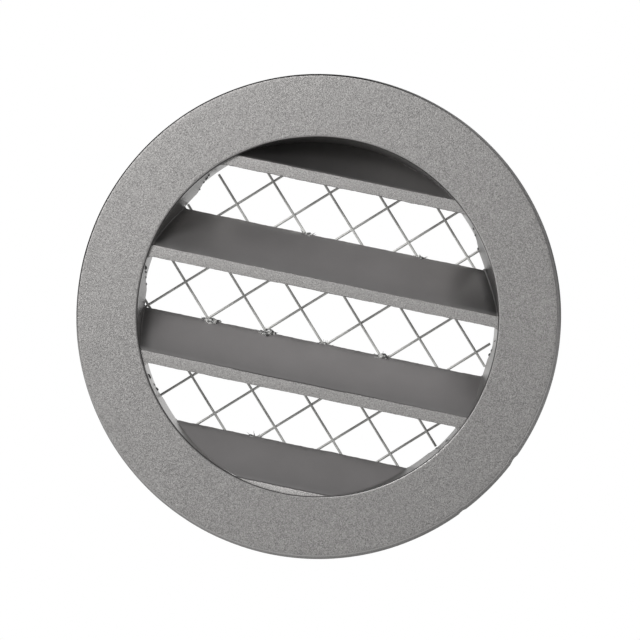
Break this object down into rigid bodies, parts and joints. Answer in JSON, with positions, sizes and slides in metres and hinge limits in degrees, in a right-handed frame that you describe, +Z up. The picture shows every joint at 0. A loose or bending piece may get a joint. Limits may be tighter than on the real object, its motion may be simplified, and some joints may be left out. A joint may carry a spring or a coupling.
{
  "type": "ventilation grille",
  "caption": "Round flanged cast ventilation grille with a short duct spigot, sloping rain slats and a square wire mesh behind them.",
  "frame": {"origin": "on the grille's axis, in the plane of the flange's back face, which is the plane of the wall", "axes": "-Y is the front that faces the weather, +Y runs into the duct, +Z is up as installed, +X is to the right seen from the front"},
  "size_m": [0.16, 0.02, 0.16],
  "materials": {
    "cast_aluminium": "blasted casting, matt, fine grain",
    "galvanised_wire": "dull galvanised wire",
    "adhesive": "cloudy set glue"
  },
  "bodies": {
    "root": {"grille_casting": "cast_aluminium", "wire_mesh": "galvanised_wire", "glue_dab_1": "adhesive", "glue_dab_2": "adhesive", "glue_dab_3": "adhesive", "glue_dab_4": "adhesive", "glue_dab_5": "adhesive", "glue_dab_6": "adhesive", "glue_dab_7": "adhesive"}
  },
  "joints": []
}
